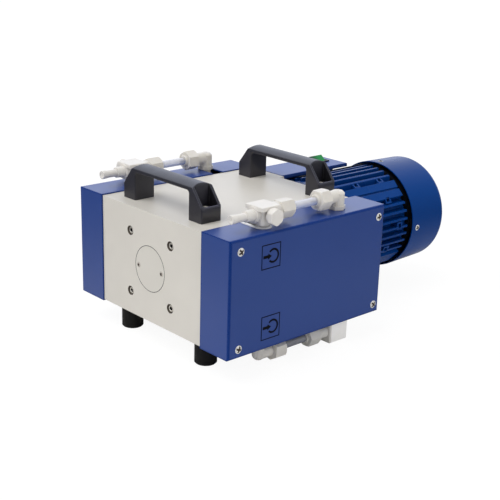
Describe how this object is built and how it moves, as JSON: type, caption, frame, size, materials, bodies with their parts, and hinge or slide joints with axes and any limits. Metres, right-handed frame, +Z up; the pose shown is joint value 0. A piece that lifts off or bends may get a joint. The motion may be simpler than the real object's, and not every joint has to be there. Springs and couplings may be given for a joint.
{
  "type": "diaphragm vacuum pump",
  "caption": "Oil-free chemistry diaphragm vacuum pump with cross-coupled heads under side covers, finned electric motor, carrying handles and a rocker switch.",
  "frame": {"origin": "on the floor under the middle of the machine's length and width", "axes": "+Z up from the feet, +Y from the front face towards the motor, +X to the machine's right seen from the front"},
  "size_m": [0.306, 0.4894, 0.2226],
  "materials": {
    "housing_paint": "satin",
    "cover_paint": "satin",
    "motor_paint": "satin",
    "disc_paint": "satin",
    "foot_rubber": "matt",
    "handle_plastic": "fine texture",
    "fitting_plastic": "natural",
    "nut_plastic": "natural",
    "tube_plastic": "translucent",
    "head_plastic": "machined",
    "head_metal": "machined",
    "diaphragm_face": "matt",
    "rod_metal": "machined",
    "steel": "ground",
    "core_steel": "raw",
    "fan_plastic": "moulded",
    "switch_black": "gloss",
    "switch_green": "gloss"
  },
  "bodies": {
    "machine": {"crankcase": "housing_paint", "front_disc": "disc_paint", "foot_front_left": "foot_rubber", "foot_front_right": "foot_rubber", "foot_rear_left": "foot_rubber", "foot_rear_right": "foot_rubber", "right_cover": "cover_paint", "left_cover": "cover_paint", "valve_plate_right": "head_plastic", "valve_plate_left": "head_plastic", "pressure_plate_right": "head_metal", "pressure_plate_left": "head_metal", "diaphragm_front_right": "diaphragm_face", "diaphragm_front_left": "diaphragm_face", "diaphragm_rear_right": "diaphragm_face", "diaphragm_rear_left": "diaphragm_face", "bearing_front": "steel", "bearing_middle": "steel", "bearing_rear": "steel", "drive_flange": "motor_paint", "motor_frame": "motor_paint", "stator": "core_steel", "rear_shield": "motor_paint", "fan_cowl": "motor_paint", "switch_box": "cover_paint", "cable_gland": "switch_black", "switch_box_lid": "cover_paint", "switch_bezel": "switch_black", "front_handle": "handle_plastic", "rear_handle": "handle_plastic", "tee_right": "fitting_plastic", "plug_right": "fitting_plastic", "union_nut_right": "nut_plastic", "tube_upper_right": "tube_plastic", "tube_nut_right": "nut_plastic", "elbow_upper_right": "nut_plastic", "elbow_lower_right": "nut_plastic", "nut_lower_right": "nut_plastic", "tube_lower_right": "tube_plastic", "outlet_right": "fitting_plastic", "tee_left": "fitting_plastic", "plug_left": "fitting_plastic", "union_nut_left": "nut_plastic", "tube_upper_left": "tube_plastic", "tube_nut_left": "nut_plastic", "elbow_upper_left": "nut_plastic", "elbow_lower_left": "nut_plastic", "nut_lower_left": "nut_plastic", "tube_lower_left": "tube_plastic", "outlet_left": "fitting_plastic"},
    "crank": {"shaft": "steel", "eccentric_front": "steel", "eccentric_rear": "steel", "rotor": "core_steel", "cooling_fan": "fan_plastic"},
    "rocker": {"rocker": "switch_green"},
    "rod_front_right": {"rod_front_right": "rod_metal"},
    "rod_front_left": {"rod_front_left": "rod_metal"},
    "rod_rear_right": {"rod_rear_right": "rod_metal"},
    "rod_rear_left": {"rod_rear_left": "rod_metal"}
  },
  "joints": [
    {"name": "crank_spin", "type": "hinge", "parent": "machine", "child": "crank", "pos_m": [0, 0, 0.106], "axis": [0, 1, 0], "continuous": true},
    {"name": "rod_front_right_swing", "type": "hinge", "parent": "crank", "child": "rod_front_right", "pos_m": [0.004, -0.17545, 0.106], "axis": [0, 1, 0], "continuous": true, "deforming": ["diaphragm_front_right"]},
    {"name": "rod_front_left_swing", "type": "hinge", "parent": "crank", "child": "rod_front_left", "pos_m": [0.004, -0.17545, 0.106], "axis": [0, 1, 0], "continuous": true, "deforming": ["diaphragm_front_left"]},
    {"name": "rod_rear_right_swing", "type": "hinge", "parent": "crank", "child": "rod_rear_right", "pos_m": [-0.004, -0.04925, 0.106], "axis": [0, 1, 0], "continuous": true, "deforming": ["diaphragm_rear_right"]},
    {"name": "rod_rear_left_swing", "type": "hinge", "parent": "crank", "child": "rod_rear_left", "pos_m": [-0.004, -0.04925, 0.106], "axis": [0, 1, 0], "continuous": true, "deforming": ["diaphragm_rear_left"]},
    {"name": "rocker_tilt", "type": "hinge", "parent": "machine", "child": "rocker", "pos_m": [-0.0764, 0.12055, 0.177], "axis": [0, 1, 0], "range_deg": [-20, 0]}
  ],
  "couplings": [
    {"joint": "rod_front_right_swing", "follows": "crank_spin", "ratio": -1},
    {"joint": "rod_front_left_swing", "follows": "crank_spin", "ratio": -1},
    {"joint": "rod_rear_right_swing", "follows": "crank_spin", "ratio": -1},
    {"joint": "rod_rear_left_swing", "follows": "crank_spin", "ratio": -1}
  ]
}
